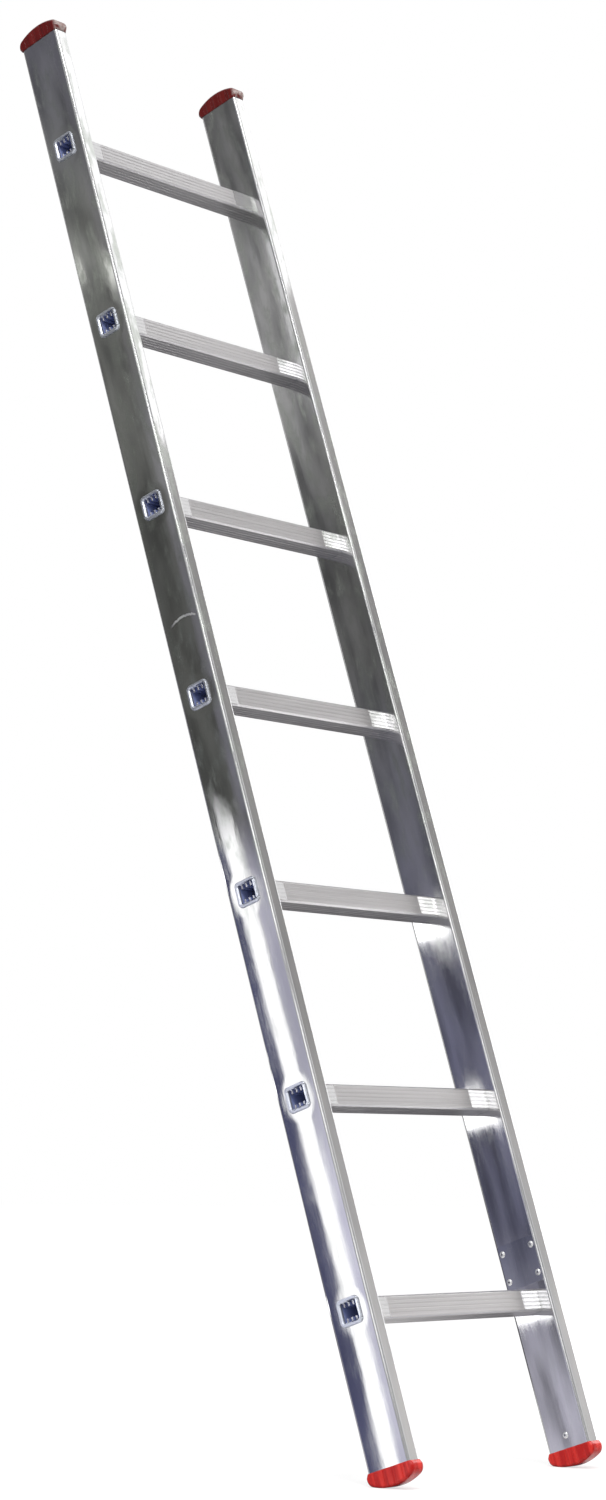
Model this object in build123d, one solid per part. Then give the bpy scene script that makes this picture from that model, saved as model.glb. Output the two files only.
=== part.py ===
"""Single-section leaning ladder: box stiles, swaged square rungs and moulded end caps."""
from build123d import *
import os

# Arrangement, measured along the stiles
RUNG_COUNT = 7
RUNG_PITCH = 280.0
FIRST_RUNG_HEIGHT = 197.0  # lower end of the stile to the axis of the lowest rung
TOP_RUNG_DROP = 175.0  # axis of the top rung to the upper end of the stile
LADDER_WIDTH = 410.0  # outer face to outer face
LEAN_ANGLE = 17.6  # degrees from upright, the top leaning towards +Y

# Stile, an extruded box section
STILE_DEPTH = 68.0
STILE_THICKNESS = 22.0
STILE_WALL = 1.5
STILE_CORNER = 4.0
CAVITY_CORNER = 1.5  # cut off each corner of the cavity

# Rung, an extruded square tube with grooves outside and webs inside
RUNG_SIZE = 30.0
RUNG_WALL = 2.4
RUNG_CORNER = 2.5  # cut off each outer corner
BORE_CORNER = 1.2  # cut off each corner of the bore
RUNG_FIT = 0.1  # gap on each side in the stile's opening
GROOVE_COUNT = 4
GROOVE_PITCH = 5.5
GROOVE_WIDTH = 1.2
GROOVE_DEPTH = 0.4
WEB_COUNT = 3
WEB_PITCH = 7.5
WEB_WIDTH = 2.2
WEB_HEIGHT = 5.5

# Swaged rung end: a bulge inside the stile and a lip on its outer face
BULGE_REACH = 1.5
LIP_REACH = 3.0
LIP_HEIGHT = 2.6
LIP_CORNER = 7.0
LIP_TAPER = 20.0  # degrees, sides of the lip leaning in towards its rim
MOUTH_REACH = 1.8  # past the bore at the rim
MOUTH_CORNER = 3.0  # cut off each corner of the mouth
MOUTH_TAPER = 45.0  # degrees, the mouth closing in to the bore

# End cap, one moulding for both ends of both stiles
CAP_RIM_REACH = 1.0  # past the stile's narrow faces, where the cap meets them
CAP_WAIST_REACH = 4.0  # past the stile's narrow faces, where the cap is widest
CAP_SIDE_REACH = 0.8  # past the stile's wide faces
CAP_FLARE_HEIGHT = 5.0  # rim to waist
CAP_SIDE_HEIGHT = 13.5
CAP_RISE = 10.0
CAP_CORNER = 11.0
CAP_EDGE = 2.4
FLUTE_COUNT = 4
FLUTE_PITCH = 15.0
FLUTE_WIDTH = 5.0
FLUTE_DEPTH = 0.6
PLUG_DEPTH = 38.0
PLUG_WALL = 2.5
PLUG_FIT = 0.15
PLUG_CORNER = 2.0  # cut off each corner of the plug
POCKET_COUNT = 3
POCKET_RISE = 8.0  # from the stile's end into the dome

# Blind rivet: a domed body and the mandrel left in it
RIVET_SIDES = 10  # facets that stand for a rivet's roundness
RIVET_SHANK = 4.8
RIVET_HEAD = 9.0
RIVET_HEAD_HEIGHT = 1.6
RIVET_HEAD_TAPER = 48.0  # degrees, sides of the domed head
RIVET_HOLE_FIT = 0.1
RIVET_BULB = 6.6
RIVET_BULB_LENGTH = 5.0
MANDREL_SIZE = 2.6
MANDREL_HEAD = 4.4
MANDREL_HEAD_LENGTH = 1.6
MANDREL_SUNK = 0.5  # break of the mandrel below the head's crown
MANDREL_FIT = 0.05

# Bare riveted plate on the inner face of the right stile
PLATE_WIDTH = 60.0
PLATE_HEIGHT = 62.0
PLATE_THICKNESS = 1.0
PLATE_CORNER = 2.0  # cut off each corner
PLATE_RISE = 54.0  # axis of the lowest rung to the middle of the plate
PLATE_RIVETS_ACROSS = 49.0
PLATE_RIVETS_ALONG = 38.5

FOOT_RIVET_HEIGHT = 17.0  # above the lower end of the stile

STILE_LENGTH = FIRST_RUNG_HEIGHT + (RUNG_COUNT - 1) * RUNG_PITCH + TOP_RUNG_DROP
STILE_CENTRE = (LADDER_WIDTH - STILE_THICKNESS) / 2
INNER_FACE = LADDER_WIDTH / 2 - STILE_THICKNESS
CAVITY_THICKNESS = STILE_THICKNESS - 2 * STILE_WALL
CAVITY_DEPTH = STILE_DEPTH - 2 * STILE_WALL
RUNG_HEIGHTS = [FIRST_RUNG_HEIGHT + index * RUNG_PITCH for index in range(RUNG_COUNT)]
PLATE_CENTRE_HEIGHT = FIRST_RUNG_HEIGHT + PLATE_RISE
RUNG_REACH = LADDER_WIDTH / 2 + LIP_HEIGHT  # middle of the rung to the rim of its lip
BORE_SIZE = RUNG_SIZE - 2 * RUNG_WALL


def cut_square(size, corner):
    """Square facing +X with its corners cut off, for the rung and what it passes through."""
    return Plane.YZ * chamfer(Rectangle(size, size).vertices(), corner)


def round_bar(size, length):
    """Faceted round bar of a rivet, reaching down from z = 0."""
    return extrude(RegularPolygon(size / 2, RIVET_SIDES), -length)


def rivet_hole(length):
    """Cutter along X, to both sides of a face, for the shank of a blind rivet."""
    bar = round_bar(RIVET_SHANK + 2 * RIVET_HOLE_FIT, 2 * length)
    return Rot(0, 90, 0) * Pos(0, 0, length) * bar


def plate_rivet_points():
    """Centres of the plate's rivets on the inner face of the right stile."""
    pattern = GridLocations(PLATE_RIVETS_ACROSS, PLATE_RIVETS_ALONG, 2, 2)
    points = [location.position for location in pattern]
    return [(INNER_FACE, point.X, PLATE_CENTRE_HEIGHT + point.Y) for point in points]


def foot_rivet_point(side):
    """Centre of a foot's rivet on the inner face of the stile on that side."""
    return (side * INNER_FACE, 0, FOOT_RIVET_HEIGHT)


def stile(side):
    """Box-section stile, open at both ends, pierced for the rungs and the rivets of its inner face."""
    outer = RectangleRounded(STILE_THICKNESS, STILE_DEPTH, STILE_CORNER)
    cavity = chamfer(Rectangle(CAVITY_THICKNESS, CAVITY_DEPTH).vertices(), CAVITY_CORNER)
    body = Pos(side * STILE_CENTRE, 0, 0) * extrude(outer - cavity, STILE_LENGTH)
    opening = extrude(cut_square(RUNG_SIZE + 2 * RUNG_FIT, RUNG_CORNER), STILE_THICKNESS, both=True)
    body -= [Pos(side * STILE_CENTRE, 0, height) * opening for height in RUNG_HEIGHTS]
    body -= Pos(*foot_rivet_point(side)) * rivet_hole(2 * STILE_WALL)
    if side > 0:
        body -= [Pos(*point) * rivet_hole(2 * STILE_WALL) for point in plate_rivet_points()]
    return body


def rung_tube():
    """Square tube along X, as long as the rung, with webs on the inside of its tread and underside."""
    bore = chamfer(Rectangle(BORE_SIZE, BORE_SIZE).vertices(), BORE_CORNER)
    web = Rectangle(WEB_WIDTH, 2 * WEB_HEIGHT)
    bore -= [place * web for place in GridLocations(WEB_PITCH, BORE_SIZE, WEB_COUNT, 2)]
    section = cut_square(RUNG_SIZE, RUNG_CORNER) - Plane.YZ * bore
    return extrude(section, RUNG_REACH, both=True)


def rung_grooves():
    """Cutters for the lengthwise grooves on all four faces, from stile to stile."""
    groove = Box(2 * INNER_FACE, GROOVE_WIDTH, 2 * GROOVE_DEPTH)
    row = GridLocations(0, GROOVE_PITCH, 1, GROOVE_COUNT)
    tread = [Pos(0, 0, RUNG_SIZE / 2) * place * groove for place in row]
    return [Rot(90 * quarter, 0, 0) * cut for quarter in range(4) for cut in tread]


def rung_lip():
    """Lip on the stile's outer face at the +X end, narrowing towards its rim."""
    size = RUNG_SIZE + 2 * LIP_REACH
    lip_face = Plane.YZ * RectangleRounded(size, size, LIP_CORNER)
    return Pos(LADDER_WIDTH / 2, 0, 0) * extrude(lip_face, LIP_HEIGHT, taper=LIP_TAPER)


def rung_end():
    """Lip and bulge at the +X end, hollow where the tube passes through them."""
    bulge = extrude(cut_square(RUNG_SIZE + 2 * BULGE_REACH, RUNG_CORNER), CAVITY_THICKNESS)
    collars = rung_lip() + Pos(INNER_FACE + STILE_WALL, 0, 0) * bulge
    return collars - extrude(cut_square(RUNG_SIZE - RUNG_WALL, RUNG_CORNER), LADDER_WIDTH)


def rung_mouth():
    """Cutter that opens the bore towards the lip's rim at the +X end."""
    mouth_face = cut_square(BORE_SIZE + 2 * MOUTH_REACH, MOUTH_CORNER)
    return Pos(RUNG_REACH, 0, 0) * extrude(mouth_face, -2 * MOUTH_REACH, taper=MOUTH_TAPER)


def rung():
    """Rung centred on the origin along X, bulged in both stiles and lipped on their outer faces."""
    end = rung_end()
    mouth = rung_mouth()
    body = rung_tube() - rung_grooves()
    body += [end, Rot(0, 0, 180) * end]
    return body - [mouth, Rot(0, 0, 180) * mouth]


def cap_dome():
    """Visible part of the end cap: flared ends, an arched crown and fluted wide faces."""
    rim = STILE_DEPTH / 2 + CAP_RIM_REACH
    waist = STILE_DEPTH / 2 + CAP_WAIST_REACH
    crown_height = CAP_SIDE_HEIGHT + CAP_RISE
    outline = Polyline(
        (-waist, CAP_SIDE_HEIGHT), (-waist, CAP_FLARE_HEIGHT), (-rim, 0),
        (rim, 0), (waist, CAP_FLARE_HEIGHT), (waist, CAP_SIDE_HEIGHT),
    )
    outline += ThreePointArc((waist, CAP_SIDE_HEIGHT), (0, crown_height), (-waist, CAP_SIDE_HEIGHT))
    arch = make_face(outline)
    shoulders = arch.vertices().group_by(Axis.Y)[-1]
    arch = fillet(shoulders, CAP_CORNER)
    half_thickness = STILE_THICKNESS / 2 + CAP_SIDE_REACH
    dome = extrude(Plane.YZ * arch, half_thickness, both=True)
    wide_faces = dome.faces().sort_by(Axis.X)
    rims = wide_faces[0].edges() + wide_faces[-1].edges()
    dome = chamfer(rims.filter_by(lambda edge: edge.center().Z > 0), CAP_EDGE)
    flute = Box(2 * FLUTE_DEPTH, FLUTE_WIDTH, 4 * crown_height)
    return dome - [place * flute for place in GridLocations(2 * half_thickness, FLUTE_PITCH, 2, FLUTE_COUNT)]


def end_cap():
    """Cap seated on the end of a stile at z = 0, its crown up and its hollow plug down in the cavity."""
    plug_thickness = CAVITY_THICKNESS - 2 * PLUG_FIT
    plug_depth = CAVITY_DEPTH - 2 * PLUG_FIT
    plug_face = chamfer(Rectangle(plug_thickness, plug_depth).vertices(), PLUG_CORNER)
    plug = extrude(plug_face, -PLUG_DEPTH)
    pocket_thickness = plug_thickness - 2 * PLUG_WALL
    pocket_depth = (plug_depth - (POCKET_COUNT + 1) * PLUG_WALL) / POCKET_COUNT
    pocket_face = Rectangle(pocket_thickness, pocket_depth)
    pocket = Pos(0, 0, -PLUG_DEPTH) * extrude(pocket_face, PLUG_DEPTH + POCKET_RISE)
    pockets = [place * pocket for place in GridLocations(0, pocket_depth + PLUG_WALL, 1, POCKET_COUNT)]
    return cap_dome() + plug - pockets


def foot(side):
    """End cap turned crown down under a stile, drilled for the rivet that holds its plug."""
    body = Pos(side * STILE_CENTRE, 0, 0) * Rot(180, 0, 0) * end_cap()
    return body - Pos(*foot_rivet_point(side)) * rivet_hole(STILE_THICKNESS / 2)


def top_cap(side):
    """End cap on the upper end of a stile."""
    return Pos(side * STILE_CENTRE, 0, STILE_LENGTH) * end_cap()


def plate():
    """Bare plate on the inner face of the right stile, with a hole for each rivet."""
    blank = Plane.YZ * chamfer(Rectangle(PLATE_WIDTH, PLATE_HEIGHT).vertices(), PLATE_CORNER)
    body = Pos(INNER_FACE, 0, PLATE_CENTRE_HEIGHT) * extrude(blank, -PLATE_THICKNESS)
    return body - [Pos(*point) * rivet_hole(2 * PLATE_THICKNESS) for point in plate_rivet_points()]


def rivet(grip):
    """Body of a set blind rivet along Z, its head seated on z = 0 and its bulb behind the grip."""
    head_face = RegularPolygon(RIVET_HEAD / 2, RIVET_SIDES)
    body = extrude(head_face, RIVET_HEAD_HEIGHT, taper=RIVET_HEAD_TAPER)
    body += round_bar(RIVET_SHANK, grip)
    body += Pos(0, 0, -grip) * round_bar(RIVET_BULB, RIVET_BULB_LENGTH)
    bore_length = RIVET_HEAD_HEIGHT + grip + RIVET_BULB_LENGTH
    return body - Pos(0, 0, RIVET_HEAD_HEIGHT) * round_bar(MANDREL_SIZE + 2 * MANDREL_FIT, bore_length)


def mandrel(grip):
    """Mandrel left in a set rivet: its stem broken off below the head, its own head on the bulb."""
    stem_top = RIVET_HEAD_HEIGHT - MANDREL_SUNK
    bulb_end = -grip - RIVET_BULB_LENGTH
    stem = Pos(0, 0, stem_top) * round_bar(MANDREL_SIZE, stem_top - bulb_end)
    return stem + Pos(0, 0, bulb_end) * round_bar(MANDREL_HEAD, MANDREL_HEAD_LENGTH)


def inward(side, point):
    """Place on an inner face, with Z pointing across to the other stile."""
    return Pos(*point) * Rot(0, -90 * side, 0)


def plate_seats():
    """Places of the plate's rivets, on the free face of the plate."""
    points = [(x - PLATE_THICKNESS, y, z) for x, y, z in plate_rivet_points()]
    return [inward(1, point) for point in points]


def ladder():
    """Every piece under its name, upright, with the stiles' lower ends at z = 0."""
    pieces = {"left_stile": stile(-1), "right_stile": stile(1)}
    level_rung = rung()
    for number, height in enumerate(RUNG_HEIGHTS, start=1):
        pieces[f"rung_{number}"] = Pos(0, 0, height) * level_rung
    foot_grip = STILE_WALL + PLUG_FIT + PLUG_WALL
    for name, side in (("left", -1), ("right", 1)):
        seat = inward(side, foot_rivet_point(side))
        pieces[f"{name}_foot"] = foot(side)
        pieces[f"{name}_top_cap"] = top_cap(side)
        pieces[f"{name}_foot_rivet"] = seat * rivet(foot_grip)
        pieces[f"{name}_foot_rivet_mandrel"] = seat * mandrel(foot_grip)
    plate_grip = PLATE_THICKNESS + STILE_WALL
    pieces["blank_plate"] = plate()
    pieces["plate_rivets"] = Part() + [seat * rivet(plate_grip) for seat in plate_seats()]
    pieces["plate_rivet_mandrels"] = Part() + [seat * mandrel(plate_grip) for seat in plate_seats()]
    return pieces


def stand(pieces):
    """Lean the ladder back and set its feet on z = 0, with the origin under the middle of its box."""
    lean = Rot(-LEAN_ANGLE, 0, 0)
    leaning = {name: lean * piece for name, piece in pieces.items()}
    boxes = [piece.bounding_box() for piece in leaning.values()]
    floor = min(box.min.Z for box in boxes)
    front = min(box.min.Y for box in boxes)
    back = max(box.max.Y for box in boxes)
    shift = Pos(0, -(front + back) / 2, -floor)
    return {name: shift * piece for name, piece in leaning.items()}


os.makedirs("parts", exist_ok=True)
for name, piece in stand(ladder()).items():
    export_step(piece, f"parts/{name}.step")
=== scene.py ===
"""Studio scene of the leaning ladder: metal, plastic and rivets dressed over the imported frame."""
import math
import bpy
from mathutils import Matrix, Vector


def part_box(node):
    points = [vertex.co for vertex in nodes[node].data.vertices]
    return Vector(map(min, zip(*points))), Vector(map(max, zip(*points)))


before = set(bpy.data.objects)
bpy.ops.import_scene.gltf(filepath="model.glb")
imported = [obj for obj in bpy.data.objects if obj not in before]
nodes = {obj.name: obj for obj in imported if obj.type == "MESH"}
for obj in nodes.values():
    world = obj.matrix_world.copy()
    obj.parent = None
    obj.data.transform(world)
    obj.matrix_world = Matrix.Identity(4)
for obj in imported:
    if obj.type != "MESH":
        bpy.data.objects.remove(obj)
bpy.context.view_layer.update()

# Ladder frame: upright, with the stiles' lower ends at z = 0; metres and radians
LEAN = math.radians(17.6)
HALF_WIDTH = 0.205
STILE_DEPTH = 0.068
RUNG_PITCH = 0.280
HALF_RUNG = 0.015
RUNG_WALL = 0.0024
RUNG_CLEAR = 0.366
FIRST_RUNG_HEIGHT = 0.197
TURN = Matrix.Rotation(-LEAN, 4, "X")
LOWERED = Matrix.Translation((0.0, 0.0, -FIRST_RUNG_HEIGHT))
rung_low, rung_high = (Vector(corner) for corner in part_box("rung_1"))
TO_SCENE = Matrix.Translation((rung_low + rung_high) / 2) @ TURN @ LOWERED
TO_LADDER = TO_SCENE.inverted()

# Camera of the photograph: its place in the ladder frame, its angles, and its lens and sensor
# in millimetres
CAMERA_PLACE = (-3.512, -2.5628, -0.44165)
CAMERA_YAW = math.radians(-50.65)
CAMERA_PITCH = math.radians(7.28)
CAMERA_LENS = 80.26
SENSOR_HEIGHT = 36.0

# Colours
WHITE = (1.0, 1.0, 1.0, 1.0)
STILE_TONES = ((0.62, 0.62, 0.63, 1.0), (0.69, 0.685, 0.685, 1.0))
HAZE_COLOUR = (0.55, 0.59, 0.53, 1.0)
PLATE_TONES = ((0.52, 0.53, 0.57, 1.0), (0.60, 0.61, 0.64, 1.0))
RUNG_TONES = ((0.52, 0.51, 0.515, 1.0), (0.60, 0.585, 0.59, 1.0))
# Painted shade: dark colour along the top edges of the rungs
RUNG_EDGE_SHADE = (0.18, 0.155, 0.145, 1.0)
RUNG_POLISHED = (0.70, 0.695, 0.70, 1.0)
# Painted highlight: pale bluish colour on the rims of the rungs' lips
RUNG_LIP_HIGHLIGHT = (0.74, 0.77, 0.84, 1.0)
# Painted shade: dull blue non-metal colour that stands in for the shade inside the rungs' bores
RUNG_BORE_SHADE = (0.26, 0.31, 0.56, 1.0)
FOOT_TONES = ((0.54, 0.005, 0.003, 1.0), (0.80, 0.030, 0.020, 1.0))
# Painted shade: the top caps are the feet's red plastic, coloured darker as if in shade
TOP_CAP_SHADED_TONES = ((0.11, 0.004, 0.003, 1.0), (0.155, 0.009, 0.007, 1.0))
# Painted highlight: pale patches on the front end of the top caps
CAP_HIGHLIGHT_COLOUR = (0.40, 0.33, 0.31, 1.0)
RIVET_TONES = ((0.70, 0.70, 0.71, 1.0), (0.80, 0.80, 0.80, 1.0))
MANDREL_TONES = ((0.10, 0.10, 0.11, 1.0), (0.20, 0.20, 0.21, 1.0))
FLOOR_TONES = ((0.44, 0.44, 0.44, 1.0), (0.46, 0.46, 0.46, 1.0))
FLOOR_CARD_TONES = ((0.07, 0.068, 0.08, 1.0), (0.14, 0.136, 0.155, 1.0))
# Painted shadow under the feet, seen only in their reflections
FOOT_SHADOW_TONES = ((0.06, 0.058, 0.07, 1.0), (0.12, 0.116, 0.135, 1.0))
FLAG_DARK = (0.10, 0.10, 0.11, 1.0)

# Spans of a noise over which a tone or a roughness changes
NOISE_SPAN = (0.3, 0.7)
SMEAR_SPAN = (0.4, 0.7)
CLEAN_SPAN = (0.35, 0.7)
HAZE_SPAN = (0.42, 0.72)
STREAK_SPAN = (0.4, 0.66)
CAP_HIGHLIGHT_SPAN = (0.3, 0.6)

# Scales of a noise, or its stretch across the ladder, over its depth and along it
DIE_LINES = (900.0, 900.0, 1.2)
STILE_SMEARS = (30.0, 30.0, 7.0)
HAZE_SPOTS = (75.0, 75.0, 30.0)
RUNG_LINES = (3.0, 1100.0, 1100.0)
RUNG_SMEARS = (25.0, 60.0, 60.0)
CAP_STREAKS = (140.0, 140.0, 12.0)
CAP_PITS = 900.0
CAP_HIGHLIGHT_PATCHES = 160.0
SPECKLES = 700.0
FLOOR_SPECKLES = 30.0
FLOOR_CARD_CLOUDS = 3.0
CARD_BLOTCHES = (16.0, 16.0, 6.0)

# Outer faces: depth at which they begin, depth from which they count in full, and depth of the rungs' lips
FACE_DEPTH = 0.004
FACE_FULL = 0.002
LIP_DEPTH = 0.001

# Bright metal: its die lines, waves and haze, the crown of its wide faces and the dish round each rung
GRAIN_DEPTH = 0.000008
WAVE_DEPTH = 0.00016
STILE_ROUGHNESS = (0.05, 0.09)
SMEAR_ROUGHNESS = 0.05
HAZE_ROUGHNESS = 0.16
HAZE_TINT = 0.6
HAZE_START = 0.6
HAZE_FULL = 1.0
HAZE_BELOW = 0.25
STILE_CROWN = 0.75
PLATE_CROWN = 0.2
DISH_DEPTH = 0.00035
DISH_START = 0.014
DISH_END = 0.034

# Scratch on the outer face of the left stile: its height at mid depth, its slope, bend, wobble and width,
# and the depths over which it fades in and out
SCRATCH_HEIGHT = 1.152
SCRATCH_SLOPE = 0.10
SCRATCH_BEND = 12.0
SCRATCH_WOBBLE = 0.006
SCRATCH_WOBBLES = 260.0
SCRATCH_CORE = 0.0008
SCRATCH_WIDTH = 0.0022
SCRATCH_BEGIN = (-0.029, -0.024)
SCRATCH_END = (0.008, 0.024)
SCRATCH_ROUGHNESS = 0.6

# Rungs: their soft edges, lines and the painted shade along their top edges, and how far from its edges a
# face counts as flat
RUNG_EDGE = 0.0022
RUNG_LINE_DEPTH = 0.00003
RUNG_ROUGHNESS = (0.34, 0.42)
RUNG_SMEAR_ROUGHNESS = 0.06
EDGE_SHADE_FADE = 0.0012
FLAT_START = 0.003
FLAT_END = 0.001

# Rung ends, pressed in and polished at the front next to the stiles: their length and slope,
# and the shares of the roughness and of the lines that are left there
POLISH_LENGTH = 0.039
POLISH_FADE = 0.001
POLISH_SLOPE = 0.115
POLISH_SHARE = 0.3
POLISH_RELIEF = 0.2

# Plastic of the caps, and the painted highlight on the front end of the top caps
CAP_EDGE = 0.003
CAP_PIT_DEPTH = 0.00003
CAP_ROUGHNESS = (0.18, 0.28)
CAP_SPECULAR = 0.35
CAP_HIGHLIGHT_SHARE = 0.9
CAP_HIGHLIGHT_FULL = -0.003
CAP_HIGHLIGHT_NONE = 0.004

# Rivets and their mandrels
SPECKLE_DEPTH = 0.00004
RIVET_ROUGHNESS = (0.30, 0.42)
MANDREL_ROUGHNESS = (0.35, 0.5)

# Studio
WORLD_LIGHT = 0.9
FLOOR_SIZE = 60.0
FLOOR_GLOW = 0.6
KEY_POWER = 140.0
KEY_SIZE = 2.0
KEY_PLACE = (-2.2, -2.6, 5.2)
KEY_TARGET = (0.0, 0.0, 1.0)

# Headings of the cards across the ladder, along which its faces mirror what the camera sees
LEFT_BACK = (-0.806, 0.592)
RIGHT_FRONT = (0.808, -0.590)
LEFT_FRONT = (-0.808, -0.590)

# Cards that show in reflections only: their gain, distances, the gap between overlapping ones and
# the height of those on the floor
CARD_GAIN = 1.29
SIDE_DISTANCE = 0.6
GLEAM_DISTANCE = 0.42
FRONT_DISTANCE = 1.5
FILL_DISTANCE = 2.4
LAYER = 0.01
CARD_LIFT = 0.004
FOOT_SHADOW_LIFT = 0.0005

# Lower and upper edges of the cards beside and before the ladder, the height at which low and high
# side cards meet, and the height at which the top front cards begin
SIDE_LOW = -0.3
SIDE_JOIN = 0.3
SIDE_HIGH = 3.2
FRONT_LOW = -0.6
FRONT_TOP_LOW = 1.5
FRONT_HIGH = 3.5

# Places over which the floor card turns dark, to the back and to the right
FLOOR_CARD_BACK = (0.10, 0.45)
FLOOR_CARD_RIGHT = (0.10, 0.35)

# Gleams below some rungs: the rung, the card's end across and its drop below the rung's edge
GLEAMS = ((1, 0.19, 0.011), (2, 0.19, 0.020), (3, 0.19, 0.028), (6, 0.06, 0.012))
GLEAM_START = 0.012
GLEAM_OVERLAP = 0.005
GLEAM_LEVEL = 2.4

# Gleam above the second rung: its reach below and above the rung's edge, and its ends across
CREST_BELOW = 0.004
CREST_ABOVE = 0.007
CREST_LOW_ENDS = (0.05, 0.16)
CREST_HIGH_ENDS = (0.068, 0.125)
CREST_LEVEL = 2.0

# Gleam cards lie flat: their height from the height at which the right stile mirrors them,
# their distance from that stile, and the dark sheet over each
MIRROR_RISE = 1.1277
MIRROR_BASE = 0.0566
MIRROR_RUN = 0.574
GLEAM_GAP = 0.0004
GLEAM_BACK_LEVEL = 0.12

# Small cards that the polished end of each rung mirrors through the right stile, and their levels
FILL_RISE = 1.577
FILL_BASE = 0.25
FILL_HALF = 0.15
FILL_LEFT = (0.14, 0.56)
FILL_RIGHT = (-0.58, -0.39)
FILL_LEVELS = (2.4, 2.6, 3.2, 2.7, 2.9, 2.5)

# Ring of tall soft-edged flags round the ladder
FLAG_COUNT = 24
FLAG_DISTANCE = 2.6
FLAG_WIDTH = 0.62
FLAG_CORE = 0.03
FLAG_LOW = -1.0
FLAG_HIGH = 4.8


class Graph:
    """Small helper that adds and links nodes of one material or world."""

    def __init__(self, owner):
        owner.use_nodes = True
        self.tree = owner.node_tree
        self.tree.nodes.clear()

    def add(self, kind, inputs=None, **settings):
        """New node with its settings and inputs; an input is a value or another node's socket."""
        node = self.tree.nodes.new(kind)
        for name, value in settings.items():
            setattr(node, name, value)
        for name, value in (inputs or {}).items():
            self.feed(node.inputs[name], value)
        return node

    def feed(self, socket, value):
        """Link a socket to another one, or set its value."""
        if isinstance(value, bpy.types.NodeSocket):
            self.tree.links.new(value, socket)
        else:
            socket.default_value = value

    def math(self, operation, *values):
        """Result of a scalar operation."""
        node = self.add("ShaderNodeMath", operation=operation)
        for socket, value in zip(node.inputs, values):
            self.feed(socket, value)
        return node.outputs[0]

    def total(self, *values):
        """Sum of several scalars."""
        result = values[0]
        for value in values[1:]:
            result = self.math("ADD", result, value)
        return result

    def ramp(self, value, low, high, to_low=0.0, to_high=1.0):
        """Value taken smoothly from one range to another."""
        node = self.add("ShaderNodeMapRange", interpolation_type="SMOOTHSTEP")
        for socket, amount in zip(node.inputs, (value, low, high, to_low, to_high)):
            self.feed(socket, amount)
        return node.outputs[0]

    def mix(self, share, first, second):
        """Colour between two others."""
        node = self.add("ShaderNodeMix", data_type="RGBA")
        self.feed(node.inputs[0], share)
        self.feed(node.inputs[6], first)
        self.feed(node.inputs[7], second)
        return node.outputs[2]

    def bands(self, value, tones):
        """Colour by value, from pairs of value and colour in rising order."""
        low, high = tones[0][0], tones[-1][0]
        share = self.math("DIVIDE", self.math("SUBTRACT", value, low), high - low)
        node = self.add("ShaderNodeValToRGB", {"Fac": share})
        stops = node.color_ramp.elements
        for _ in tones[2:]:
            stops.new(1.0)
        for stop, (level, colour) in zip(stops, tones):
            stop.position = (level - low) / (high - low)
            stop.color = colour
        return node.outputs[0]

    def noise(self, vector, scale, detail=2.0):
        """Smooth noise from 0 to 1 over the given coordinates."""
        texture = self.add("ShaderNodeTexNoise", {"Vector": vector, "Scale": scale, "Detail": detail})
        return texture.outputs["Fac"]

    def stretched(self, vector, factors):
        """Coordinates scaled along each axis."""
        return self.add("ShaderNodeMapping", {"Vector": vector, "Scale": factors}).outputs[0]

    def parts(self, vector):
        """The three coordinates of a vector."""
        return self.add("ShaderNodeSeparateXYZ", {"Vector": vector}).outputs

    def bump(self, height, distance, **below):
        """Normal bent by a height, over the normal given as Normal or else the surface's own."""
        inputs = {"Height": height, "Distance": distance, "Strength": 1.0, **below}
        return self.add("ShaderNodeBump", inputs).outputs[0]

    def rounded(self, radius, samples):
        """Normal that rounds the edges of the mesh."""
        return self.add("ShaderNodeBevel", {"Radius": radius}, samples=samples).outputs[0]

    def object_coordinates(self):
        """Coordinates of the object."""
        return self.add("ShaderNodeTexCoord").outputs["Object"]

    def ladder_coordinates(self):
        """Coordinates in the ladder frame, from those of the object."""
        place, turn, _ = TO_LADDER.decompose()
        values = {"Vector": self.object_coordinates(), "Location": place, "Rotation": turn.to_euler()}
        return self.add("ShaderNodeMapping", values).outputs[0]

    def seen_rays(self):
        """1 for rays of the camera and of reflections, 0 for those that light a surface."""
        rays = self.add("ShaderNodeLightPath").outputs
        seen = self.math("MAXIMUM", rays["Is Camera Ray"], rays["Is Glossy Ray"])
        return self.math("MAXIMUM", seen, rays["Is Transmission Ray"])

    def rung_height(self, along):
        """Height above the axis of the nearest rung, from the height in the ladder frame."""
        start = FIRST_RUNG_HEIGHT - RUNG_PITCH / 2
        wrapped = self.math("WRAP", along, start + RUNG_PITCH, start)
        return self.math("SUBTRACT", wrapped, FIRST_RUNG_HEIGHT)

    def finish_material(self, kind, inputs):
        """Add a shader of the given kind and wire it to the material's output."""
        shader = self.add(kind, inputs)
        self.add("ShaderNodeOutputMaterial", {"Surface": shader.outputs[0]})


def new_graph(name):
    """A new material and its graph."""
    material = bpy.data.materials.new(name)
    return material, Graph(material)


def scratch(graph, across, depth, along):
    """1 along a short curved scratch across the outer face of the left stile, 0 elsewhere."""
    bend = graph.math("MULTIPLY", graph.math("MULTIPLY", depth, depth), SCRATCH_BEND)
    sideways = graph.add("ShaderNodeCombineXYZ", {"X": depth}).outputs[0]
    wobble = graph.math("MULTIPLY", graph.noise(sideways, SCRATCH_WOBBLES), SCRATCH_WOBBLE)
    slope = graph.math("MULTIPLY", depth, SCRATCH_SLOPE)
    line = graph.total(along, -SCRATCH_HEIGHT, slope, bend, wobble)
    near = graph.ramp(graph.math("ABSOLUTE", line), SCRATCH_CORE, SCRATCH_WIDTH, 1.0, 0.0)
    begin = graph.ramp(depth, *SCRATCH_BEGIN)
    end = graph.ramp(depth, *SCRATCH_END, 1.0, 0.0)
    left = graph.math("LESS_THAN", across, FACE_DEPTH - HALF_WIDTH)
    length = graph.math("MULTIPLY", graph.math("MULTIPLY", begin, end), left)
    return graph.math("MULTIPLY", near, length)


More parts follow.
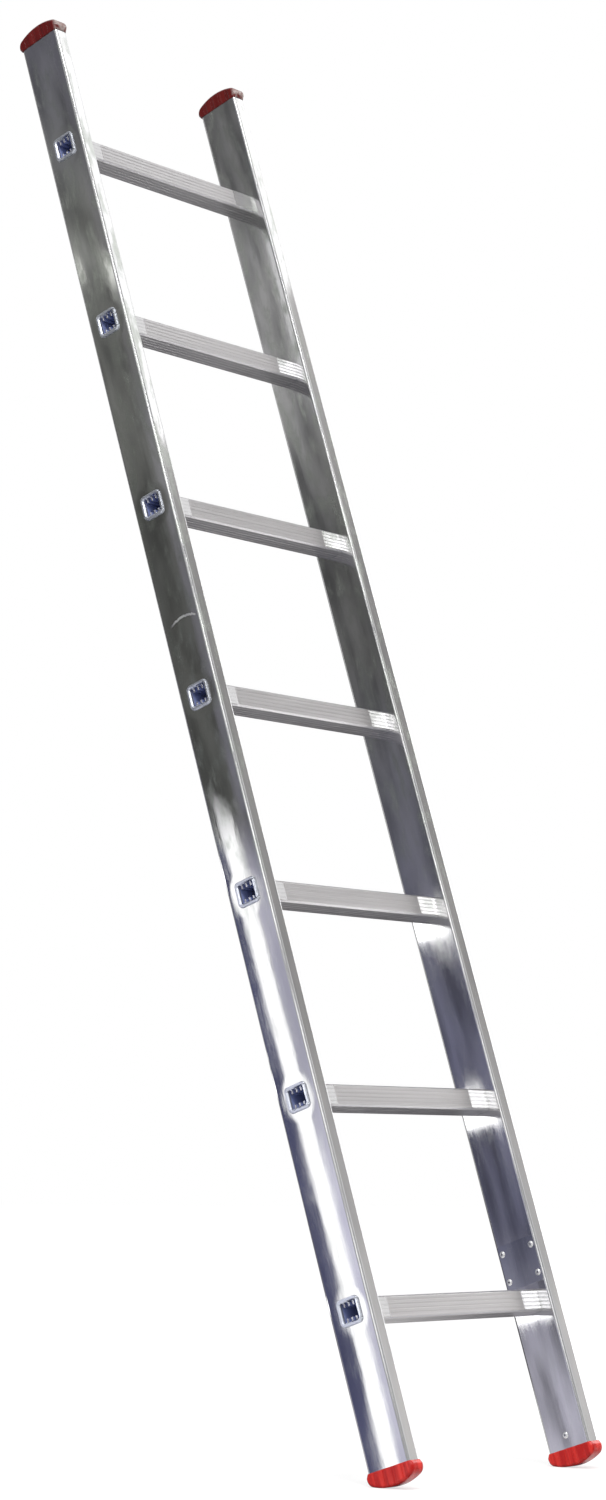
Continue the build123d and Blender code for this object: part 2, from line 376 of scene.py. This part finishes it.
def bright_metal(name, tones, crown):
    """Bright mill-finish aluminium with die lines, its wide faces slightly crowned.

    The outer faces are shallowly dished round each rung.
    """
    material, graph = new_graph(name)
    place = graph.ladder_coordinates()
    across, depth, along = graph.parts(place)
    lines = graph.noise(graph.stretched(place, DIE_LINES), 1.0, 3.0)
    smears = graph.noise(graph.stretched(place, STILE_SMEARS), 1.0, 4.0)
    spots = graph.noise(graph.stretched(place, HAZE_SPOTS), 1.0, 5.0)
    reach = graph.add("ShaderNodeCombineXYZ", {"X": depth, "Y": graph.rung_height(along)}).outputs[0]
    distance = graph.add("ShaderNodeVectorMath", {0: reach}, operation="LENGTH").outputs["Value"]
    arch = graph.math("MULTIPLY", graph.math("MULTIPLY", depth, depth), -crown)
    outward = graph.math("ABSOLUTE", across)
    outer = graph.ramp(outward, HALF_WIDTH - FACE_DEPTH, HALF_WIDTH - FACE_FULL)
    dish = graph.math("MULTIPLY", outer, graph.ramp(distance, DISH_START, DISH_END, -DISH_DEPTH, 0.0))
    grain = graph.math("MULTIPLY", lines, GRAIN_DEPTH)
    wave = graph.math("MULTIPLY", smears, WAVE_DEPTH)
    # Hazy spots, duller and tinted darker and greener, grow from the lower ladder towards the top
    higher_up = graph.ramp(along, HAZE_START, HAZE_FULL, HAZE_BELOW, 1.0)
    haze = graph.math("MULTIPLY", graph.ramp(spots, *HAZE_SPAN), higher_up)
    clean = graph.mix(graph.ramp(smears, *CLEAN_SPAN), *tones)
    drawn = graph.ramp(lines, *NOISE_SPAN, *STILE_ROUGHNESS)
    smeared = graph.ramp(smears, *SMEAR_SPAN, 0.0, SMEAR_ROUGHNESS)
    hazed = graph.math("MULTIPLY", haze, HAZE_ROUGHNESS)
    scratched = graph.math("MULTIPLY", scratch(graph, across, depth, along), SCRATCH_ROUGHNESS)
    graph.finish_material("ShaderNodeBsdfPrincipled", {
        "Base Color": graph.mix(graph.math("MULTIPLY", haze, HAZE_TINT), clean, HAZE_COLOUR),
        "Metallic": 1.0,
        "Roughness": graph.total(drawn, smeared, hazed, scratched),
        "Normal": graph.bump(graph.total(arch, dish, grain, wave), 1.0),
    })
    return material


def rung_metal():
    """Satin aluminium with fine lines along the rung, polished ends, painted shade along the top edges,
    lips painted pale as a highlight and a bore painted dull blue as shade.
    """
    material, graph = new_graph("rung_metal")
    place = graph.ladder_coordinates()
    across, depth, along = graph.parts(place)
    lines = graph.noise(graph.stretched(place, RUNG_LINES), 1.0, 3.0)
    smears = graph.noise(graph.stretched(place, RUNG_SMEARS), 1.0, 3.0)
    outward = graph.math("ABSOLUTE", across)
    sideways = graph.math("ABSOLUTE", depth)
    above = graph.rung_height(along)
    rise = graph.math("ABSOLUTE", above)

    # Painted shade: inside the bore, fading out near the mouth, the metal becomes dull blue
    inside = graph.math("LESS_THAN", graph.math("MAXIMUM", sideways, rise), HALF_RUNG - RUNG_WALL / 2)
    deep = graph.ramp(outward, HALF_WIDTH - FACE_DEPTH, HALF_WIDTH, 1.0, 0.0)
    bore_shade = graph.math("MULTIPLY", inside, deep)
    # Painted highlight on the rims of the lips
    lip_highlight = graph.ramp(outward, HALF_WIDTH - LIP_DEPTH, HALF_WIDTH)
    # Painted shade along the rungs' top edges, front and back
    edge = HALF_RUNG - RUNG_EDGE
    beside = graph.ramp(sideways, edge, edge + EDGE_SHADE_FADE)
    edge_shade = graph.math("MULTIPLY", beside, graph.ramp(above, edge, edge + EDGE_SHADE_FADE))

    flat = graph.ramp(rise, HALF_RUNG - FLAT_START, HALF_RUNG - FLAT_END, 1.0, 0.0)
    front = graph.math("MULTIPLY", flat, graph.math("LESS_THAN", depth, 0.0))
    neck = RUNG_CLEAR / 2 - POLISH_LENGTH
    polish = graph.math("MULTIPLY", front, graph.ramp(outward, neck, neck + POLISH_FADE))
    pressed = graph.math("MAXIMUM", graph.math("SUBTRACT", outward, neck), 0.0)
    dip = graph.math("MULTIPLY", graph.math("MULTIPLY", pressed, front), -POLISH_SLOPE)
    relief = graph.math("MULTIPLY", lines, graph.ramp(polish, 0.0, 1.0, 1.0, POLISH_RELIEF))
    slanted = graph.bump(dip, 1.0, Normal=graph.rounded(RUNG_EDGE, 4))

    satin = graph.mix(graph.ramp(lines, *NOISE_SPAN), *RUNG_TONES)
    edge_shaded = graph.mix(edge_shade, satin, RUNG_EDGE_SHADE)
    shiny = graph.mix(polish, edge_shaded, RUNG_POLISHED)
    bright = graph.mix(lip_highlight, shiny, RUNG_LIP_HIGHLIGHT)
    drawn = graph.ramp(lines, *NOISE_SPAN, *RUNG_ROUGHNESS)
    smeared = graph.ramp(smears, *SMEAR_SPAN, 0.0, RUNG_SMEAR_ROUGHNESS)
    smoothed = graph.ramp(polish, 0.0, 1.0, 1.0, POLISH_SHARE)
    graph.finish_material("ShaderNodeBsdfPrincipled", {
        "Base Color": graph.mix(bore_shade, bright, RUNG_BORE_SHADE),
        "Metallic": graph.math("SUBTRACT", 1.0, bore_shade),
        "Roughness": graph.math("MULTIPLY", graph.math("ADD", drawn, smeared), smoothed),
        "Normal": graph.bump(relief, RUNG_LINE_DEPTH, Normal=slanted),
    })
    return material


def cap_plastic(name, tones, front_highlight=False):
    """Glossy plastic with streaks along the pull of the mould, with a painted highlight at its front end
    if asked.
    """
    material, graph = new_graph(name)
    place = graph.ladder_coordinates()
    streaks = graph.noise(graph.stretched(place, CAP_STREAKS), 1.0, 2.0)
    pits = graph.noise(place, CAP_PITS, 2.0)
    colour = graph.mix(graph.ramp(streaks, *STREAK_SPAN), *tones)
    # Painted highlight: pale patches on the front end, broken up by a noise
    if front_highlight:
        highlight_patches = graph.ramp(graph.noise(place, CAP_HIGHLIGHT_PATCHES, 3.0), *CAP_HIGHLIGHT_SPAN, 0.0, CAP_HIGHLIGHT_SHARE)
        front_end = -STILE_DEPTH / 2
        depth = graph.parts(place)["Y"]
        front = graph.ramp(depth, front_end + CAP_HIGHLIGHT_FULL, front_end + CAP_HIGHLIGHT_NONE, 1.0, 0.0)
        colour = graph.mix(graph.math("MULTIPLY", front, highlight_patches), colour, CAP_HIGHLIGHT_COLOUR)
    graph.finish_material("ShaderNodeBsdfPrincipled", {
        "Base Color": colour,
        "Roughness": graph.ramp(pits, *NOISE_SPAN, *CAP_ROUGHNESS),
        "Specular IOR Level": CAP_SPECULAR,
        "Normal": graph.bump(pits, CAP_PIT_DEPTH, Normal=graph.rounded(CAP_EDGE, 6)),
    })
    return material


def small_metal(name, tones, roughness):
    """Metal of the small parts, slightly mottled."""
    material, graph = new_graph(name)
    speckle = graph.noise(graph.ladder_coordinates(), SPECKLES, 3.0)
    graph.finish_material("ShaderNodeBsdfPrincipled", {
        "Base Color": graph.mix(speckle, *tones),
        "Metallic": 1.0,
        "Roughness": graph.ramp(speckle, *NOISE_SPAN, *roughness),
        "Normal": graph.bump(speckle, SPECKLE_DEPTH),
    })
    return material


def dress(material, *names):
    """Give CAD nodes their material."""
    for name in names:
        slots = nodes[name].data.materials
        slots.clear()
        slots.append(material)


def dress_nodes():
    """Materials of every CAD node."""
    dress(bright_metal("stile_metal", STILE_TONES, STILE_CROWN), "left_stile", "right_stile")
    dress(bright_metal("plate_metal", PLATE_TONES, PLATE_CROWN), "blank_plate")
    dress(rung_metal(), *[name for name in nodes if name.startswith("rung_")])
    dress(cap_plastic("foot_red", FOOT_TONES), "left_foot", "right_foot")
    # Top caps: the feet's plastic painted darker as shade
    dress(cap_plastic("top_red_shaded", TOP_CAP_SHADED_TONES, front_highlight=True), "left_top_cap", "right_top_cap")
    rivet = small_metal("rivet_metal", RIVET_TONES, RIVET_ROUGHNESS)
    dress(rivet, "left_foot_rivet", "right_foot_rivet", "plate_rivets")
    steel = small_metal("mandrel_steel", MANDREL_TONES, MANDREL_ROUGHNESS)
    dress(steel, "left_foot_rivet_mandrel", "right_foot_rivet_mandrel", "plate_rivet_mandrels")


def add_camera():
    """Camera at the photograph's place."""
    data = bpy.data.cameras.new("camera")
    data.sensor_fit = "VERTICAL"
    data.sensor_height = SENSOR_HEIGHT
    data.lens = CAMERA_LENS
    camera = bpy.data.objects.new("camera", data)
    camera.location = TO_SCENE @ Vector(CAMERA_PLACE)
    camera.rotation_euler = (math.pi / 2 + CAMERA_PITCH, 0.0, CAMERA_YAW)
    bpy.context.collection.objects.link(camera)
    bpy.context.scene.camera = camera


def add_world():
    """White surroundings for the camera and for reflections, and softer light for the rest."""
    world = bpy.data.worlds.new("studio")
    bpy.context.scene.world = world
    graph = Graph(world)
    strength = graph.ramp(graph.seen_rays(), 0.0, 1.0, WORLD_LIGHT, 1.0)
    background = graph.add("ShaderNodeBackground", {"Color": WHITE, "Strength": strength})
    graph.add("ShaderNodeOutputWorld", {"Surface": background.outputs[0]})


def block(left, right, low, high):
    """Corners of a rectangle from its ends across and its lower and upper edge."""
    return ((left, low), (right, low), (right, high), (left, high))


def add_sheet(name, corners, material):
    """Flat four-cornered piece of the studio."""
    mesh = bpy.data.meshes.new(name)
    mesh.from_pydata([tuple(corner) for corner in corners], [], [(0, 1, 2, 3)])
    mesh.materials.append(material)
    sheet = bpy.data.objects.new(name, mesh)
    bpy.context.collection.objects.link(sheet)
    return sheet


def add_floor():
    """Plain white floor that keeps shadows and lets reflections see the white surroundings."""
    material, graph = new_graph("floor_paint")
    speckle = graph.noise(graph.object_coordinates(), FLOOR_SPECKLES)
    paint = graph.add("ShaderNodeBsdfDiffuse", {"Color": graph.mix(speckle, *FLOOR_TONES)})
    glow = graph.math("MULTIPLY", graph.seen_rays(), FLOOR_GLOW)
    light = graph.add("ShaderNodeEmission", {"Strength": glow})
    graph.finish_material("ShaderNodeAddShader", {0: paint.outputs[0], 1: light.outputs[0]})
    half = FLOOR_SIZE / 2
    corners = [(x, y, 0.0) for x, y in block(-half, half, -half, half)]
    add_sheet("floor", corners, material).visible_glossy = False


def tint(level, hue=(1.0, 1.0, 1.0)):
    """Colour of a card from its level and its hue."""
    return (*(CARD_GAIN * level * share for share in hue), 1.0)


def shaded(hue, *steps):
    """Pairs of height and colour from pairs of height and level, all of one hue."""
    return tuple((height, tint(level, hue)) for height, level in steps)


def add_hidden_sheet(name, corners, material):
    """Sheet that is kept out of everything but reflections."""
    card = add_sheet(name, corners, material)
    card.visible_camera = False
    card.visible_diffuse = False
    card.visible_shadow = False
    card.visible_transmission = False
    return card


def add_card(name, heading, distance, corners, tones, waver=0.05):
    """Card that shows only in reflections, at a heading and distance in the ladder frame.

    distance is one number or one for each corner; corners are places across and along the ladder;
    tones are one colour or, from low to high, pairs of height and colour.
    """
    material, graph = new_graph(name)
    place = graph.ladder_coordinates()
    one_colour = isinstance(tones[0], float)
    colour = tones if one_colour else graph.bands(graph.parts(place)["Z"], tones)
    blotches = graph.noise(graph.stretched(place, CARD_BLOTCHES), 1.0, 3.0)
    strength = graph.ramp(blotches, *NOISE_SPAN, 1.0 - waver, 1.0 + waver)
    graph.finish_material("ShaderNodeEmission", {"Color": colour, "Strength": strength})
    away = Vector((heading[0], heading[1], 0.0)).normalized()
    across = Vector((away.y, -away.x, 0.0))
    up = Vector((0.0, 0.0, 1.0))
    reaches = distance if isinstance(distance, tuple) else (distance,) * len(corners)
    places = [
        TO_SCENE @ (away * reach + across * side + up * rise)
        for reach, (side, rise) in zip(reaches, corners)
    ]
    add_hidden_sheet(name, places, material)


def add_left_cards():
    """Cards mirrored by the outer face of the left stile: dark above, bright between greys below."""
    violet = (0.83, 0.87, 1.6)
    lilac = (0.94, 0.93, 1.13)
    cool = (0.98, 1.0, 0.94)
    white = (1.0, 1.0, 1.0)
    near, far = SIDE_DISTANCE - LAYER, SIDE_DISTANCE + LAYER

    dusk = shaded(cool, (1.0, 0.08), (1.5, 0.095), (1.65, 0.13), (1.87, 0.13), (1.92, 0.27), (1.99, 0.14))
    corners = ((-0.152, 0.90), (-0.03, 0.98), (-0.03, SIDE_HIGH), (-0.152, SIDE_HIGH))
    tones = dusk + shaded(lilac, (2.35, 0.11))
    add_card("left_high", LEFT_BACK, SIDE_DISTANCE + LAYER / 2, corners, tones, 0.4)
    middle = shaded(white, (1.8, 0.20), (1.86, 0.28), (1.93, 0.18))
    corners = ((-0.30, 0.90), (-0.152, 0.94), (-0.152, SIDE_HIGH), (-0.30, SIDE_HIGH))
    tones = shaded(lilac, (0.9, 0.18)) + middle + shaded(lilac, (2.35, 0.13))
    add_card("left_high_edge", LEFT_BACK, SIDE_DISTANCE, corners, tones, 0.2)
    spark = shaded(cool, (1.85, 0.3), (1.88, 0.9), (1.90, 0.9), (1.93, 0.3))
    add_card("left_spark_back", LEFT_BACK, near, block(-0.068, -0.03, 1.885, 1.93), spark)
    add_card("left_spark_front", LEFT_BACK, near, block(-0.22, -0.15, 1.85, 1.915), spark)

    dark = tint(0.095, violet)
    corners = ((-0.097, SIDE_JOIN), (-0.03, SIDE_JOIN), (-0.03, 1.1), (-0.064, 1.1))
    add_card("left_band", LEFT_BACK, far, corners, dark, 0.15)
    corners = block(-0.097, -0.03, SIDE_LOW, SIDE_JOIN)
    add_card("left_band_low", LEFT_BACK, SIDE_DISTANCE, corners, dark, 0.15)
    glare = shaded(white, (0.3, 1.4), (0.95, 1.4), (1.0, 0.8), (1.05, 0.09))
    corners = ((-0.150, SIDE_JOIN), (-0.097, SIDE_JOIN), (-0.064, 1.05), (-0.120, 1.0))
    add_card("left_glare", LEFT_BACK, SIDE_DISTANCE, corners, glare)
    corners = block(-0.150, -0.097, SIDE_LOW, SIDE_JOIN)
    add_card("left_glare_low", LEFT_BACK, SIDE_DISTANCE, corners, tint(1.4))
    grey = shaded(lilac, (0.45, 0.62), (0.65, 0.42), (0.86, 0.5), (0.93, 0.32))
    corners = ((-0.30, SIDE_JOIN), (-0.150, SIDE_JOIN), (-0.128, 1.0), (-0.30, 1.0))
    add_card("left_grey", LEFT_BACK, SIDE_DISTANCE, corners, grey + shaded(white, (1.0, 0.12)), 0.1)
    corners = block(-0.30, -0.150, SIDE_LOW, SIDE_JOIN)
    add_card("left_grey_low", LEFT_BACK, SIDE_DISTANCE, corners, tint(0.62, lilac), 0.1)


def rung_axis(number):
    """Height of a rung's axis in the ladder frame, the lowest rung being number 1."""
    return FIRST_RUNG_HEIGHT + (number - 1) * RUNG_PITCH


def add_gleam(name, low, high, low_ends, high_ends, level):
    """Card lying flat, bright below and dark above, that the right stile mirrors between two heights."""
    middle = (low + high) / 2
    lift = MIRROR_RISE * middle + MIRROR_BASE
    half = MIRROR_RISE * (high - low) / 2 * MIRROR_RUN / (lift - middle)
    near, far = GLEAM_DISTANCE - half, GLEAM_DISTANCE + half
    sheets = (("below", lift, level), ("above", lift + GLEAM_GAP, GLEAM_BACK_LEVEL))
    for part, rise, brightness in sheets:
        corners = ((low_ends[0], rise), (low_ends[1], rise), (high_ends[1], rise), (high_ends[0], rise))
        add_card(f"{name}_{part}", LEFT_BACK, (far, far, near, near), corners, tint(brightness))


def add_right_cards():
    """Cards mirrored by the inner face of the right stile, and the gleams next to some rungs."""
    pale = (0.98, 0.96, 1.12)
    plum = (0.92, 0.93, 1.35)
    white = (1.0, 1.0, 1.0)
    foot = shaded(pale, (0.0, 0.44), (0.2, 0.36)) + shaded(plum, (0.42, 0.11), (0.7, 0.13))
    top = shaded(white, (1.4, 0.10), (1.68, 0.12), (1.9, 0.29), (2.15, 0.28), (2.32, 0.13))
    corners = block(-0.03, 0.26, SIDE_LOW, SIDE_HIGH)
    add_card("right_inner", LEFT_BACK, SIDE_DISTANCE, corners, foot + top, 0.45)
    for number, end, drop in GLEAMS:
        edge = rung_axis(number) - HALF_RUNG
        ends = (GLEAM_START, end)
        add_gleam(f"gleam_{number}", edge - drop, edge + GLEAM_OVERLAP, ends, ends, GLEAM_LEVEL)
    crest = rung_axis(2) + HALF_RUNG
    low, high = crest - CREST_BELOW, crest + CREST_ABOVE
    add_gleam("gleam_over_2", low, high, CREST_LOW_ENDS, CREST_HIGH_ENDS, CREST_LEVEL)
    sheen = shaded(white, (1.9, 0.6), (2.1, 0.75), (2.3, 0.5))
    corners = block(-0.03, 0.018, 1.94, 2.24)
    add_card("gleam_high", LEFT_BACK, SIDE_DISTANCE - LAYER, corners, sheen)


def add_front_cards():
    """Cards mirrored by the narrow front faces, the rungs and the rounded edges."""
    warm = (1.02, 1.0, 0.99)
    white = (1.0, 1.0, 1.0)
    left, right = 0.42, -0.42
    strips = FRONT_DISTANCE + LAYER
    grey = shaded(warm, (0.3, 0.58), (0.6, 0.47), (1.0, 0.32), (1.8, 0.28), (2.3, 0.48))
    corners = ((right, FRONT_LOW), (left, FRONT_LOW), (left, 1.92), (right, 2.6))
    add_card("front_grey", RIGHT_FRONT, FRONT_DISTANCE, corners, grey, 0.1)
    corners = block(left, 1.0, FRONT_LOW, FRONT_HIGH)
    add_card("front_left", RIGHT_FRONT, FRONT_DISTANCE, corners, tint(0.8))
    corners = block(-0.9, right, FRONT_LOW, FRONT_HIGH)
    add_card("front_right", RIGHT_FRONT, FRONT_DISTANCE, corners, shaded(white, (1.9, 3.2), (2.3, 1.6)))
    corners = block(right, left, FRONT_TOP_LOW, FRONT_HIGH)
    add_card("front_top", RIGHT_FRONT, strips + LAYER, corners, tint(0.62))
    corners = block(0.12, 0.24, FRONT_TOP_LOW, FRONT_HIGH)
    add_card("front_top_left", RIGHT_FRONT, strips, corners, tint(1.35))
    corners = block(-0.19, -0.07, FRONT_TOP_LOW, FRONT_HIGH)
    add_card("front_top_right", RIGHT_FRONT, strips, corners, tint(1.35))


def add_fill_cards():
    """Cards mirrored by the polished right ends of the rungs, two for each but the top one."""
    for number, level in enumerate(FILL_LEVELS, 1):
        middle = FILL_RISE * rung_axis(number) + FILL_BASE
        low, high = middle - FILL_HALF, middle + FILL_HALF
        left = block(*FILL_LEFT, low, high)
        add_card(f"fill_left_{number}", LEFT_FRONT, FILL_DISTANCE, left, tint(level))
        right = block(*FILL_RIGHT, low, high)
        add_card(f"fill_right_{number}", LEFT_FRONT, FILL_DISTANCE, right, tint(level))


def add_floor_card():
    """Card on the floor that darkens away from the ladder to its back and right."""
    material, graph = new_graph("floor_card")
    place = graph.object_coordinates()
    across, depth, _ = graph.parts(place)
    dark = graph.mix(graph.noise(place, FLOOR_CARD_CLOUDS), *FLOOR_CARD_TONES)
    near = graph.ramp(depth, *FLOOR_CARD_BACK, 1.0, 0.0)
    left = graph.ramp(across, *FLOOR_CARD_RIGHT, 1.0, 0.0)
    tone = graph.mix(graph.math("MULTIPLY", near, left), dark, WHITE)
    graph.finish_material("ShaderNodeEmission", {"Color": tone})
    corners = ((0.20, -0.30), (3.2, -0.30), (3.2, 4.2), (-2.6, 4.2))
    add_hidden_sheet("floor_card", [(x, y, CARD_LIFT) for x, y in corners], material)


def add_foot_shadow_cards():
    """Dark card on the floor under each foot, a painted shadow that the feet's undersides mirror."""
    material, graph = new_graph("foot_shadow_card")
    blotches = graph.noise(graph.object_coordinates(), FLOOR_SPECKLES)
    graph.finish_material("ShaderNodeEmission", {"Color": graph.mix(blotches, *FOOT_SHADOW_TONES)})
    for foot in ("left_foot", "right_foot"):
        low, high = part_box(foot)
        corners = block(low[0], high[0], low[1], high[1])
        add_hidden_sheet(f"{foot}_card", [(x, y, FOOT_SHADOW_LIFT) for x, y in corners], material)


def add_flags():
    """Ring of tall flags, dark along the middle, that the metal mirrors as bands from every side."""
    material, graph = new_graph("flag")
    half = FLAG_WIDTH / 2
    sideways = graph.math("ABSOLUTE", graph.parts(graph.object_coordinates())["X"])
    tone = graph.mix(graph.ramp(sideways, FLAG_CORE, half), FLAG_DARK, WHITE)
    graph.finish_material("ShaderNodeEmission", {"Color": tone})
    corners = [(x, 0.0, z) for x, z in block(-half, half, FLAG_LOW, FLAG_HIGH)]
    for number in range(FLAG_COUNT):
        heading = math.tau * (number + 0.5) / FLAG_COUNT
        flag = add_hidden_sheet(f"flag_{number + 1}", corners, material)
        flag.location = (FLAG_DISTANCE * math.cos(heading), FLAG_DISTANCE * math.sin(heading), 0.0)
        flag.rotation_euler = (0.0, 0.0, heading + math.pi / 2)


def add_lamp(name, place, target, size, power):
    """Square soft box aimed at a point."""
    data = bpy.data.lights.new(name, "AREA")
    data.size = size
    data.energy = power
    lamp = bpy.data.objects.new(name, data)
    lamp.location = place
    aim = Vector(target) - Vector(place)
    lamp.rotation_euler = aim.to_track_quat("-Z", "Y").to_euler()
    bpy.context.collection.objects.link(lamp)


dress_nodes()
add_camera()
add_world()
add_floor()
add_left_cards()
add_right_cards()
add_front_cards()
add_fill_cards()
add_floor_card()
add_foot_shadow_cards()
add_flags()
add_lamp("key", KEY_PLACE, KEY_TARGET, KEY_SIZE, KEY_POWER)
bpy.context.scene.view_settings.view_transform = "Standard"
